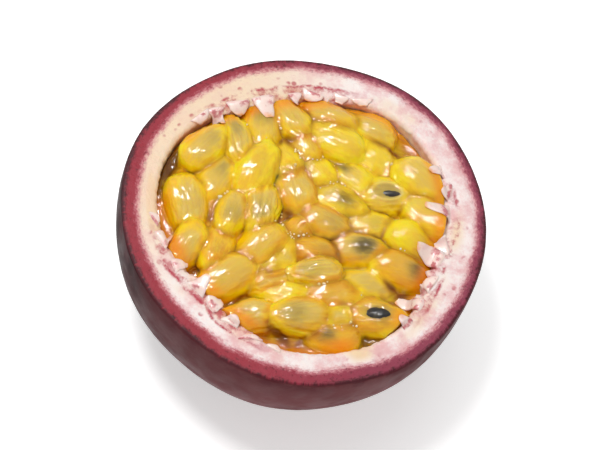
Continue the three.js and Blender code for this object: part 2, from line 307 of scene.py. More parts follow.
# ------------------------------------------------------------------ shared steps
def draw(index, which):
    """A repeatable draw from -1 to 1: number `which` of thing `index`."""
    wave = math.sin(index * 12.9898 + which * 78.233 + 2.9) * 43758.5453
    return 2 * (wave - math.floor(wave)) - 1


def girth_radius(azimuth):
    return CUT_RADIUS * lobes(azimuth)


def cavity_girth(azimuth):
    peel = chosen("peel")
    return girth_radius(azimuth) - peel.wall - peel.swell * placenta_share(azimuth)


def cavity_reach():
    peel = chosen("peel")
    return CUT_HEIGHT - peel.girth_drop - peel.floor


def cavity_radius(azimuth, height, gap=0.0):
    """Radius of the cavity at a height, less a gap."""
    drop = height - (CUT_HEIGHT - chosen("peel").girth_drop)
    return (cavity_girth(azimuth) - gap) * dome_share(drop, cavity_reach() - gap)


def polar(corners):
    """Azimuth of corners about the axis of the fruit, and their distance from it."""
    offset = corners[:, :2] + MIDDLE
    return np.arctan2(offset[:, 1], offset[:, 0]), np.hypot(*offset.T)


def linked(name, data):
    made = bpy.data.objects.new(name, data)
    bpy.context.scene.collection.objects.link(made)
    return made


def mark(mesh, **values):
    """Stores a number or a vector at every corner, under each name."""
    for key, value in values.items():
        flat = np.asarray(value, np.float32)
        kind, field = ("FLOAT", "value") if flat.ndim == 1 else ("FLOAT_VECTOR", "vector")
        mesh.attributes.new(key, kind, "POINT").data.foreach_set(field, flat.ravel())


def new_mesh(name, corners, edges=(), faces=(), **values):
    """A linked object whose mesh has these corners, each with a number or a vector for every name given."""
    mesh = bpy.data.meshes.new(name)
    mesh.from_pydata([tuple(c) for c in corners], list(edges), list(faces))
    mark(mesh, **values)
    return linked(name, mesh)


def corners_of(mesh, field="co"):
    """The place of every corner, or its normal."""
    flat = np.empty(len(mesh.vertices) * 3, np.float32)
    mesh.vertices.foreach_get(field, flat)
    return flat.reshape(-1, 3).astype(float)


def numbers_of(mesh, key):
    flat = np.empty(len(mesh.vertices), np.float32)
    mesh.attributes[key].data.foreach_get("value", flat)
    return flat


def move_corners(mesh, corners):
    mesh.vertices.foreach_set("co", np.asarray(corners, np.float32).ravel())
    mesh.update()


def ease(mesh, rounds, strength=0.5):
    """Evens out the corners with their neighbours."""
    corners = corners_of(mesh)
    edges = np.empty(len(mesh.edges) * 2, np.int32)
    mesh.edges.foreach_get("vertices", edges)
    a, b = edges.reshape(-1, 2).T
    neighbours = np.bincount(a, minlength=len(corners)) + np.bincount(b, minlength=len(corners))
    for _ in range(rounds):
        total = np.zeros_like(corners)
        for axis in range(3):
            for near, far in ((a, b), (b, a)):
                total[:, axis] += np.bincount(near, corners[far, axis], len(corners))
        corners += strength * (total / neighbours[:, None] - corners)
    move_corners(mesh, corners)


def grow(base, name, tree, **inputs):
    """Runs a Geometry Nodes tree on an object and leaves its result as a plain mesh object."""
    grower = base.modifiers.new(name, "NODES")
    grower.node_group = tree
    sockets = {s.name: s.identifier for s in tree.interface.items_tree if s.in_out == "INPUT"}
    for key, value in inputs.items():
        grower[sockets[key.capitalize()]] = value
    graph = bpy.context.evaluated_depsgraph_get()
    ready = base.evaluated_get(graph)
    mesh = bpy.data.meshes.new_from_object(ready, preserve_all_data_layers=True, depsgraph=graph)
    base.modifiers.remove(grower)
    bpy.data.objects.remove(base)
    mesh.name = name
    return linked(name, mesh)


def settle_piece(piece, node):
    """Fixes a finished piece to the fruit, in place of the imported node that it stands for."""
    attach(piece, "root")
    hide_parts(node)


# ------------------------------------------------------------------ node trees
def sign(operation, turned=False):
    """What a sign such as + does with a wire on its left or, turned, on its right: it makes a Math node."""

    def work(wire, other):
        return wire.weaver.math(operation, *((other, wire) if turned else (wire, other)))

    return work


class Wire:
    """An output of a node, to reckon with as with a number."""

    __add__, __radd__ = sign("ADD"), sign("ADD", turned=True)
    __sub__, __rsub__ = sign("SUBTRACT"), sign("SUBTRACT", turned=True)
    __mul__, __rmul__ = sign("MULTIPLY"), sign("MULTIPLY", turned=True)
    __pow__, __rtruediv__ = sign("POWER"), sign("DIVIDE", turned=True)

    def __init__(self, weaver, socket):
        self.weaver, self.socket = weaver, socket

    def __abs__(self):
        return self.weaver.math("ABSOLUTE", self)


class Weaver:
    """Adds linked nodes to one tree. A value is a number, a tuple or a wire."""

    def __init__(self, tree):
        self.tree = tree

    def node(self, kind, inputs=(), **traits):
        made = self.tree.nodes.new(kind)
        for key, value in traits.items():
            setattr(made, key, value)
        for key, value in dict(inputs).items():
            self.feed(made.inputs[key], value)
        return made

    def feed(self, socket, value):
        if isinstance(value, Wire):
            self.tree.links.new(value.socket, socket)
        else:
            socket.default_value = value

    def wire(self, kind, inputs=(), output=0, **traits):
        """One output of a new node."""
        return Wire(self, self.node(kind, inputs, **traits).outputs[output])

    def given(self):
        """The tree's own inputs, by name."""
        sockets = self.tree.nodes.new("NodeGroupInput").outputs
        return SimpleNamespace(**{s.name.lower(): Wire(self, s) for s in sockets if s.name})

    def result(self, wire):
        self.feed(self.tree.nodes.new("NodeGroupOutput").inputs[0], wire)
        return self.tree

    def math(self, operation, *values):
        return self.wire("ShaderNodeMath", enumerate(values), operation=operation)

    def vector(self, operation, *values):
        inputs = {"Scale" if (operation, i) == ("SCALE", 1) else i: value for i, value in enumerate(values)}
        output = "Value" if operation in ("LENGTH", "DOT_PRODUCT") else "Vector"
        return self.wire("ShaderNodeVectorMath", inputs, output, operation=operation)

    def combine(self, x, y, z):
        return self.wire("ShaderNodeCombineXYZ", {"X": x, "Y": y, "Z": z})

    def separate(self, vector):
        return [Wire(self, side) for side in self.node("ShaderNodeSeparateXYZ", {"Vector": vector}).outputs]

    def step(self, value, low, high, to_low=0.0, to_high=1.0):
        """A smooth step from one value to another as `value` goes from low to high."""
        inputs = {"Value": value, "From Min": low, "From Max": high, "To Min": to_low, "To Max": to_high}
        return self.wire("ShaderNodeMapRange", inputs, interpolation_type="SMOOTHSTEP")

    def noise(self, where, scale, detail=2.0, roughness=0.5, distortion=0.0, output="Fac"):
        inputs = {"Scale": scale, "Detail": detail, "Roughness": roughness, "Distortion": distortion}
        return self.wire("ShaderNodeTexNoise", {"Vector": where, **inputs}, output)

    def ripple(self, *noise):
        """Noise from about -0.5 to 0.5."""
        return self.noise(*noise) - 0.5

    def cells(self, where, scale):
        return self.wire("ShaderNodeTexVoronoi", {"Vector": where, "Scale": scale}, "Distance")


class Grower(Weaver):
    """A Geometry Nodes tree. Its inputs are given by kind, such as Float="length width"."""

    def __init__(self, name, **kinds):
        super().__init__(bpy.data.node_groups.new(name, "GeometryNodeTree"))
        face = self.tree.interface
        for kind, keys in {"Geometry": "geometry", **kinds}.items():
            for key in keys.split():
                face.new_socket(key.capitalize(), in_out="INPUT", socket_type="NodeSocket" + kind)
        face.new_socket("Geometry", in_out="OUTPUT", socket_type="NodeSocketGeometry")

    def named(self, key, kind="FLOAT"):
        return self.wire("GeometryNodeInputNamedAttribute", {"Name": key}, "Attribute", data_type=kind)

    def store(self, geometry, key, value, kind="FLOAT"):
        inputs = {"Geometry": geometry, "Name": key, "Value": value}
        return self.wire("GeometryNodeStoreNamedAttribute", inputs, data_type=kind, domain="POINT")

    def place(self, geometry, **where):
        """Moves every corner to its `position` or by its `offset`."""
        inputs = {key.capitalize(): value for key, value in where.items()}
        return self.wire("GeometryNodeSetPosition", {"Geometry": geometry, **inputs})

    def position(self):
        return self.wire("GeometryNodeInputPosition")

    def push(self, geometry, height):
        """Moves every corner along its normal."""
        return self.place(geometry, offset=self.vector("SCALE", self.wire("GeometryNodeInputNormal"), height))

    def lying(self, kind, **inputs):
        """A ball or cone that lies along +X."""
        upright = self.wire(kind, {key.replace("_", " "): value for key, value in inputs.items()}, "Mesh")
        return self.wire("GeometryNodeTransform", {"Geometry": upright, "Rotation": (0, math.pi / 2, 0)})

    def real(self, geometry):
        return self.wire("GeometryNodeRealizeInstances", {"Geometry": geometry})

    def scatter(self, points, thing):
        """The thing at every point, turned and sized by the points' own `turn` and `size`, made real."""
        turn, size = self.named("turn", "FLOAT_VECTOR"), self.named("size", "FLOAT_VECTOR")
        inputs = {"Points": points, "Instance": thing, "Rotation": turn, "Scale": size}
        return self.real(self.wire("GeometryNodeInstanceOnPoints", inputs))

    def finish(self, geometry, material, *parts):
        """Smooth faces in a material, as the tree's result. A part is a selection and its own material."""
        piece = self.real(self.wire("GeometryNodeSetShadeSmooth", {"Geometry": geometry}))
        for selection, own in ((True, material), *parts):
            inputs = {"Geometry": piece, "Material": own, "Selection": selection}
            piece = self.wire("GeometryNodeSetMaterial", inputs)
        return self.result(piece)


def peel_tree():
    """Sweeps the profile round the outline. Both carry their measures as attributes."""
    tree = Grower("Peel", Object="profile", Float="ragged torn dimple", Material="skin pith")
    given, named = tree.given(), tree.named
    outline = tree.wire("GeometryNodeMeshToCurve", {"Mesh": given.geometry})
    source = tree.wire("GeometryNodeObjectInfo", {"Object": given.profile}, "Geometry")
    profile = tree.wire("GeometryNodeMeshToCurve", {"Mesh": source})
    swept = tree.wire("GeometryNodeCurveToMesh", {"Curve": outline, "Profile Curve": profile})

    azimuth = named("azimuth")
    around = tree.combine(tree.math("COSINE", azimuth), tree.math("SINE", azimuth), 0.0)
    ragged = named("lip") * given.ragged * tree.ripple(around, 26.0, 5.0, 0.62) * 2.0
    low = tree.combine(0.0, 0.0, named("height") * 95.0)
    torn = tree.step(tree.noise(tree.vector("ADD", around, low), 11.0, 3.0, 0.6, 0.5), 0.42, 0.66)
    tooth = torn * (named("ridge") * tree.step(named("placenta"), 0.25, 0.75))
    skin_side = named("skin_share") * named("girth")
    cavity_side = named("cavity_share") * named("cavity")
    radius = skin_side + cavity_side + named("inset") + ragged + tooth * given.torn * -1.0
    height = named("height") + named("wave_share") * named("wave")
    shifted = tree.vector("SUBTRACT", tree.vector("SCALE", around, radius), (*MIDDLE, 0.0))
    placed = tree.place(swept, position=tree.vector("ADD", shifted, tree.combine(0.0, 0.0, height)))
    marked = tree.store(placed, "tooth", tooth)
    closed = tree.wire("GeometryNodeMergeByDistance", {"Geometry": marked, "Distance": 0.002 * MM})

    where = tree.position()
    relief = tree.ripple(where, 140.0) * 1.6 + tree.ripple(where, 620.0) * 0.5
    above = tree.step(tree.separate(where)[2], 0.0, 4 * MM)
    dimples = named("outside") * given.dimple * relief * above
    sponge = named("cut") * (0.16 * MM) * tree.ripple(where, 900.0, 3.0)
    pushed = tree.push(closed, dimples + sponge)
    inside = tree.math("LESS_THAN", named("outside"), 0.5)
    return tree.finish(pushed, given.skin, (inside, given.pith))


def aril_tree():
    """A lumpy drop at every point."""
    tree = Grower("Arils", Int="segments rings", Float="fullness taper lumps", Material="flesh")
    given = tree.given()
    ball = tree.lying("GeometryNodeMeshUVSphere", Segments=given.segments, Rings=given.rings, Radius=1.0)
    marked = tree.store(ball, "inside", tree.position(), "FLOAT_VECTOR")
    x, y, z = [abs(side) ** given.fullness for side in tree.separate(tree.position())]
    swell = (x + y + z) ** (-1.0 / given.fullness)
    x, y, z = tree.separate(tree.vector("SCALE", tree.position(), swell))
    girth = 1.0 + given.taper * x
    drop = tree.place(marked, position=tree.combine(x, y * girth, z * girth))
    heap = tree.scatter(given.geometry, drop)
    apart = tree.named("aril") * 7.3
    where = tree.vector("ADD", tree.named("inside", "FLOAT_VECTOR"), tree.combine(apart, apart, 0.0))
    lumps = tree.ripple(where, 0.9, 1.0) * 2.6 + tree.ripple(where, 2.6) * 1.5
    return tree.finish(tree.push(heap, given.lumps * lumps), given.flesh)


def wrinkle_tree():
    """Fine wrinkles along every aril, pleats on some, and crinkles next to the creases."""
    tree = Grower("Wrinkles", Float="wrinkles", Material="flesh")
    given, crease = tree.given(), tree.named("crease")
    apart = tree.combine(tree.named("aril") * 3.1, 0.0, 0.0)
    own = tree.vector("ADD", tree.named("inside", "FLOAT_VECTOR"), apart)
    fine = tree.ripple(tree.vector("MULTIPLY", own, (1.0, 3.4, 3.4)), 1.9, 3.0, 0.6, 0.4)
    pleats = tree.ripple(tree.vector("MULTIPLY", own, (0.25, 3.2, 3.2)), 1.6, 1.0, 0.5, 0.3)
    pleated = pleats * tree.step(tree.named("tone"), 0.6, 0.9)
    bumps = tree.ripple(tree.position(), 520.0)
    crinkled = tree.step(crease, 1.2, 0.3) * tree.step(crease, 0.0, 0.25)
    crinkles = tree.ripple(tree.position(), 1150.0) * crinkled
    height = fine * 2.0 + pleated * 6.0 + bumps * 1.2 + crinkles * 2.4
    return tree.finish(tree.push(given.geometry, given.wrinkles * height), given.flesh)


def tooth_tree():
    """A torn, tapering tooth of pith at every point."""
    tree = Grower("Stalks", Int="sides steps", Float="torn", Material="flesh")
    given = tree.given()
    sides = {"Vertices": given.sides, "Side_Segments": given.steps, "Fill_Segments": 2}
    cone = tree.lying("GeometryNodeMeshCone", **sides, Radius_Top=0.3, Radius_Bottom=1.0, Depth=1.0)
    x, y, z = tree.separate(tree.position())
    bulge = 1.0 + 0.9 * x * (1.0 - x)
    tooth = tree.place(cone, position=tree.combine(x, y * bulge, z))
    tooth = tree.store(tree.store(tooth, "along", x), "flat", tree.separate(tree.position())[2])
    heap = tree.scatter(given.geometry, tooth)
    thick = tree.named("flat") * tree.separate(tree.named("size", "FLOAT_VECTOR"))[2]
    heap = tree.store(heap, "thick", thick)
    broad = tree.noise(tree.position(), 420.0, output="Color")
    shift = tree.vector("SCALE", tree.vector("SUBTRACT", broad, (0.5, 0.5, 0.5)), given.torn * 3.0)
    bent = tree.place(heap, offset=shift)
    return tree.finish(tree.push(bent, given.torn * tree.ripple(tree.position(), 1600.0, 3.0)), given.flesh)


def bead_tree():
    """Bubbles of juice in the creases of the arils, pale so that they show as painted glints."""
    tree = Grower("Beads", Float="radius each lowest", Int="draw", Material="juice")
    given = tree.given()
    crease = tree.step(tree.named("crease"), 0.6, 0.25)
    flock = tree.step(tree.noise(tree.position(), 170.0, 3.0, 0.6), 0.56, 0.62)
    high = tree.step(tree.separate(tree.position())[2], given.lowest, given.lowest + 0.5 * MM)
    density = given.each * 1e6 * crease * flock * high
    inputs = {"Mesh": given.geometry, "Density": density, "Seed": given.draw}
    spots = tree.node("GeometryNodeDistributePointsOnFaces", inputs)
    points, normals = [Wire(tree, spots.outputs[key]) for key in ("Points", "Normal")]
    ball = tree.wire("GeometryNodeMeshIcoSphere", {"Radius": 1.0, "Subdivisions": 2}, "Mesh")
    span = tree.node("FunctionNodeRandomValue", data_type="FLOAT")
    for key, value in (("Min", 0.5), ("Max", 1.0), ("Seed", 3)):
        [s for s in span.inputs if s.name == key and s.enabled][0].default_value = value
    drawn = Wire(tree, [s for s in span.outputs if s.enabled][0])
    size = given.radius * drawn**1.6
    lifted = tree.place(points, offset=tree.vector("SCALE", normals, size * 0.35))
    beads = tree.wire("GeometryNodeInstanceOnPoints", {"Points": lifted, "Instance": ball, "Scale": size})
    return tree.finish(beads, given.juice)


def seed_tree():
    """A flat, pitted seed at every point."""
    tree = Grower("Seeds", Int="segments rings", Float="pits", Material="coat")
    given = tree.given()
    ball = tree.lying("GeometryNodeMeshUVSphere", Segments=given.segments, Rings=given.rings, Radius=1.0)
    x, y, z = tree.separate(tree.position())
    point = 1.0 - 0.5 * tree.step(x, 0.0, 1.1) - 0.25 * tree.step(x, -0.2, -1.1)
    heap = tree.scatter(given.geometry, tree.place(ball, position=tree.combine(x, y * point, z * point)))
    pitted = tree.step(tree.cells(tree.position(), 1500.0), 0.25, 0.6)
    return tree.finish(tree.push(heap, given.pits * (pitted - 0.5)), given.coat)


# ------------------------------------------------------------------ shaders
def patches_group():
    """Soft patches scattered over a surface, a group that all the materials share."""
    if "Patches" in bpy.data.node_groups:
        return bpy.data.node_groups["Patches"]
    weaver = Weaver(bpy.data.node_groups.new("Patches", "ShaderNodeTree"))
    face = weaver.tree.interface
    face.new_socket("Where", in_out="INPUT", socket_type="NodeSocketVector")
    for key, value in (("Scale", 500.0), ("Detail", 3.0), ("Roughness", 0.6), ("Low", 0.4), ("High", 0.6)):
        face.new_socket(key, in_out="INPUT", socket_type="NodeSocketFloat").default_value = value
    face.new_socket("Share", in_out="OUTPUT", socket_type="NodeSocketFloat")
    given = weaver.given()
    noise = weaver.noise(given.where, given.scale, given.detail, given.roughness)
    return weaver.result(weaver.step(noise, given.low, given.high))


class Painter(Weaver):
    """A material's tree, with its Principled shader. A colour is given by its name in FruitColours."""

    def __init__(self, name, **fixed):
        self.material = bpy.data.materials.new(name)
        self.material.use_nodes = True
        super().__init__(self.material.node_tree)
        self.shader = self.tree.nodes["Principled BSDF"]
        self.paint(**fixed)

    def paint(self, **sockets):
        for key, value in sockets.items():
            self.feed(self.shader.inputs[key.replace("_", " ").title().replace("Ior", "IOR")], value)
        return self.material

    def here(self):
        return self.wire("ShaderNodeTexCoord", output="Object")

    def own(self, key, field="Fac"):
        return self.wire("ShaderNodeAttribute", output=field, attribute_name=key)

    def patches(self, *values):
        """The shared patches with a scale, detail, roughness, low and high."""
        return self.wire("ShaderNodeGroup", enumerate((self.here(), *values)), node_tree=patches_group())

    def bump(self, height, strength, distance):
        return self.wire("ShaderNodeBump", {"Height": height, "Strength": strength, "Distance": distance})

    def tint(self, tone):
        """A colour as it is, or the fruit's colour of that name."""
        return tuple(getattr(chosen("colours"), tone)) if isinstance(tone, str) else tone

    def layers(self, base, *coats):
        """A base colour with coats over it. Each coat is its share and its colour."""
        for part, over in coats:
            inputs = {0: part, 6: self.tint(base), 7: self.tint(over)}
            base = self.wire("ShaderNodeMix", inputs, 2, data_type="RGBA")
        return base


def skin_material():
    painter = Painter("Passion fruit skin", specular_ior_level=0.04)
    here = painter.here()
    x, y, height = painter.separate(here)
    clouds = painter.patches(90.0, 3.0, 0.6, 0.34, 0.7) * 0.3
    # Painted light and shade: the skin is redder and lighter towards one side and darker towards the other,
    # over red clouds of its own.
    ruddy_and_lit_side = clouds + painter.step(x - y * 1.3, 0.0, 34 * MM) * 0.75
    speck = painter.patches(1500.0, 3.0, 0.7, 0.58, 0.76) * 0.45
    near_cut = painter.step(height, CUT_HEIGHT - 3.2 * MM, CUT_HEIGHT - 0.4 * MM, 0.0, 0.7)
    edge = near_cut * painter.patches(330.0, 3.0, 0.6, 0.35, 0.65)
    base = painter.layers("skin", (ruddy_and_lit_side, "skin_red_and_lit"), (speck, "skin_dust"), (edge, "rim"))
    rough = painter.step(painter.noise(here, 300.0), 0.3, 0.7, 0.4, 0.6)
    pits = painter.noise(here, 1100.0, 2.0, 0.55)
    return painter.paint(base_color=base, roughness=rough, normal=painter.bump(pits, 0.3, 0.12 * MM))


def pith_material():
    painter = Painter(
        "Pith",
        roughness=0.5,
        specular_ior_level=0.25,
        subsurface_weight=0.3,
        subsurface_radius=(1.0, 0.7, 0.6),
        subsurface_scale=0.5 * MM,
    )
    here, step, own = painter.here(), painter.step, painter.own
    across, placenta, tooth = own("across"), own("placenta"), own("tooth")
    around = own("around", "Vector")

    def toward(degrees, *limits):
        """A smooth step that is highest on the side of the fruit at an azimuth."""
        return step(painter.vector("DOT_PRODUCT", around, facing(degrees)), *limits)

    # From the skin inward: the dark rim, red or crimson, pale red, and then the white flesh.
    wander = painter.ripple(here, 190.0, 4.0, 0.65)
    ray = painter.vector("ADD", around, painter.combine(0.0, 0.0, across * 0.35))
    fibre = painter.ripple(ray, 38.0, 6.0, 0.72)
    broad = toward(245, -1.0, 1.0, 1.75 * MM, 2.6 * MM) + painter.ripple(around, 2.2, 1.0) * (0.7 * MM)
    inward = own("depth") + (wander * (1.5 * MM) + fibre * (2.0 * MM))
    past = inward - broad
    red = painter.layers("rim_crimson", (toward(205, -0.6, 0.6), "rim_red"))
    band = painter.layers(
        "rim",
        (step(inward, 0.25 * MM, 1.0 * MM), red),
        (step(past, -0.8 * MM, 0.1 * MM), "rim_pale"),
        (painter.patches(1300.0, 3.0, 0.7, 0.56, 0.7) * 0.55, "rim"),
    )
    white = step(past, -0.35 * MM, 0.7 * MM)

    stained = toward(165, 0.2, 0.9, 0.0, 0.62)
    cream = painter.patches(75.0, 2.0, 0.5, 0.42, 0.6) * step(across, 0.45, 0.9) * 0.8
    pinkness = painter.patches(240.0, 5.0, 0.7, 0.42, 0.68) * (0.8 - stained)
    lines = step(fibre, 0.02, 0.2) * step(across, 0.85, 0.35) * 0.45
    streak = painter.patches(430.0, 4.0, 0.7, 0.4, 0.62)
    blush = step(placenta, 0.1, 0.6) * step(across, 0.72, 1.0)
    off_line = abs(across - (0.82 + wander * 0.45))
    line = step(off_line, 0.09, 0.0) * step(placenta, 0.2, 0.6) * streak
    dots = step(painter.cells(here, 560.0), 0.3, 0.14) * painter.patches(330.0, 1.0, 0.5, 0.52, 0.62)
    middle = step(across, 0.3, 0.45) * step(across, 0.98, 0.8)
    flesh = painter.layers(
        "pith",
        (painter.math("MAXIMUM", cream, stained), "pith_cream"),
        (pinkness, "pith_pink"),
        (lines, "pith_pink"),
        (blush * streak * 0.85, "vein"),
        (line, "vein"),
        (dots * middle * 0.75, "vein"),
        (step(tooth, 0.1, 0.45), "tooth"),
        (step(tooth, 0.55, 1.0) * streak * 0.7, "aril_orange"),
    )
    sponge = painter.noise(here, 1500.0, 4.0, 0.65) + fibre * 0.8
    base = painter.layers(band, (white, flesh))
    return painter.paint(base_color=base, normal=painter.bump(sponge, 0.6, 0.2 * MM))


def aril_material():
    painter = Painter(
        "Aril flesh",
        roughness=0.3,
        specular_ior_level=0.1,
        subsurface_weight=1.0,
        subsurface_radius=(1.0, 0.8, 0.2),
        subsurface_scale=1.4 * MM,
        coat_weight=1.0,
        coat_roughness=0.03,
        coat_ior=1.5,
    )
    here, step, own = painter.here(), painter.step, painter.own
    number, crease, warm, gap, seen = own("aril"), own("crease"), own("warm"), own("gap"), own("seen")
    inside = own("inside", "Vector")
    x, y, z = painter.separate(inside)
    height = painter.separate(here)[2]
    apart = painter.vector("ADD", inside, painter.combine(number * 3.7, 0.0, 0.0))
    cloud = painter.noise(apart, 1.7, 3.0, 0.6)
    strands = painter.noise(painter.vector("MULTIPLY", apart, (0.8, 4.5, 4.5)), 1.5, 3.0, 0.55, 0.4)
    puffs = (cloud - 0.5) * 0.8
    threads = (strands - 0.5) * 0.12

    # The hue of each sac, painted shade that makes the lower sacs deeper in colour, and the flesh that warms
    # towards its placenta.
    hue = painter.math("FRACT", number * 0.618)
    # A mask of painted shade: darker deeper in the pulp.
    low = step(height, CUT_HEIGHT + 0.4 * MM, CUT_HEIGHT - 1.6 * MM)
    pale = step(cloud, 0.35, 0.68, 0.0, 0.6) + step(hue, 0.2, 0.8, 0.0, 0.7)
    amber_and_low_shade = step(hue, 0.35, 0.12, 0.0, 0.35) + low * 0.4
    pointed_end = step(x + puffs * 1.2, 0.6, -0.5)

    # The cloud round the seed, and the seed that shines through.
    whole = step(crease, 0.2, 1.4)
    sac = painter.vector("LENGTH", painter.combine(x * 1.05, y * 1.2, 0.0))
    haze = step(sac + puffs + threads, 1.2, 0.45) * step(own("tone"), 0.0, 0.6, 0.25, 1.0) * whole
    kernel = painter.vector("LENGTH", painter.combine((x + 0.3) * 1.5, y, 0.0))
    blur = kernel + puffs * 0.5 + threads * 0.5
    smoke = step(blur, 0.9, 0.1) * step(seen, 0.15, 0.85) * whole
    core = step(blur, 0.62, 0.1) * step(seen, 0.5, 1.0)
    # Painted glow: the sides of each sac are lighter, as light passing through it.
    side_glow = step(z, 0.7, 0.3) * step(z, -0.1, 0.25) * 0.8

    # Painted shade in dark juice: in the creases, in the pits between the sacs and in the gaps at the wall.
    # Along the wall, bright orange painted over the shade.
    furrow_shade = step(crease, 1.2, 0.0) * painter.patches(190.0, 2.0, 0.5, 0.37, 0.56) * (0.5 + low * 0.5)
    pit_shade = step(crease, 0.9, 0.1) * painter.patches(190.0, 2.0, 0.5, 0.5, 0.62) * low
    # Painted light: orange flesh laid bright along the wall over its shade, fading where the wall's painted
    # shade is dark.
    brim = step(own("rim"), 0.1, 0.9) * step(gap, 0.8, 0.4)
    embers = brim * warm * painter.patches(300.0, 1.0, 0.5, 0.5, 0.62)
    # Painted shade: dark juice deep in the gaps at the wall.
    deep = step(height, CUT_HEIGHT - 1.2 * MM, CUT_HEIGHT - 2.5 * MM) * gap
    flesh = painter.layers(
        "aril",
        (pale, "aril_pale_and_glow"),
        (amber_and_low_shade, "aril_deep_and_shade"),
        (warm * pointed_end, "aril_orange"),
        (haze, "aril_haze"),
        (smoke * 0.9, "aril_olive"),
        (core * 0.75, "seed"),
        (step(strands, 0.5, 0.75) * 0.22, "aril_pale_and_glow"),
        (side_glow, "aril_pale_and_glow"),
        (furrow_shade, "juice"),
        (pit_shade, "bed"),
        (brim * 0.8, "brim"),
        (embers * 0.7, "ember"),
        (deep, "bed"),
        (own("lip") * 0.35, "film"),
        (own("open") * 0.8, "aril_olive"),
    )
    crinkle = painter.noise(here, 900.0, 1.0) * step(crease, 1.4, 0.2, 0.0, 0.6)
    relief = painter.noise(apart, 4.0) + strands * 0.8 + crinkle
    normal = painter.bump(relief, 0.3, 0.25 * MM)
    return painter.paint(base_color=flesh, normal=normal, coat_normal=normal)


def seed_material():
    painter = Painter("Seed coat", roughness=0.4, coat_weight=0.35, coat_roughness=0.12)
    patches = painter.patches(900.0, 2.0, 0.5, 0.4, 0.7)
    return painter.paint(base_color=painter.layers("seed", (patches, "seed_brown")))


def tooth_material():
    painter = Painter(
        "Torn pith",
        roughness=0.4,
        subsurface_weight=0.4,
        subsurface_radius=(1.0, 0.7, 0.6),
        subsurface_scale=0.4 * MM,
        coat_weight=0.4,
        coat_roughness=0.1,
    )
    here, step = painter.here(), painter.step
    cloud = painter.noise(here, 800.0, 3.0, 0.6)
    along = painter.own("along") + (cloud - 0.5) * 0.5
    edge = step(abs(along - 0.32), 0.25, 0.05)
    flesh = painter.layers(
        "tooth",
        (step(cloud, 0.45, 0.75, 0.0, 0.45), "pith_pink"),
        (painter.patches(520.0, 3.0, 0.6, 0.5, 0.62) * edge * 0.8, "vein"),
        (step(along, 0.8, 1.1, 0.0, 0.8), "aril_orange"),
    )
    return painter.paint(base_color=flesh, normal=painter.bump(painter.noise(here, 2200.0), 0.3, 0.1 * MM))


# The bubbles are pale so that they show as painted glints.
def bead_material():
    painter = Painter("Bubbles of juice", roughness=0.3, coat_weight=1.0, coat_roughness=0.02)
    patches = painter.patches(500.0, 2.0, 0.5, 0.4, 0.6)
    return painter.paint(base_color=painter.layers("bubble", (patches, "bubble_glint_pale")))


# ------------------------------------------------------------------ peel
def outline_loop(facets):
    """A closed loop round the fruit that carries the measures of the outline."""
    azimuth = np.arange(facets) * TURN / facets
    around = np.stack((np.cos(azimuth), np.sin(azimuth), np.zeros(facets)), 1)
    measures = {
        "azimuth": azimuth,
        "around": around,
        "girth": girth_radius(azimuth),
        "cavity": cavity_girth(azimuth),
        "wave": RIM_WAVE * waves(azimuth),
        "placenta": placenta_share(azimuth),
    }
    edges = [(i, (i + 1) % facets) for i in range(facets)]
    return new_mesh("outline", around * CUT_RADIUS, edges, **measures)


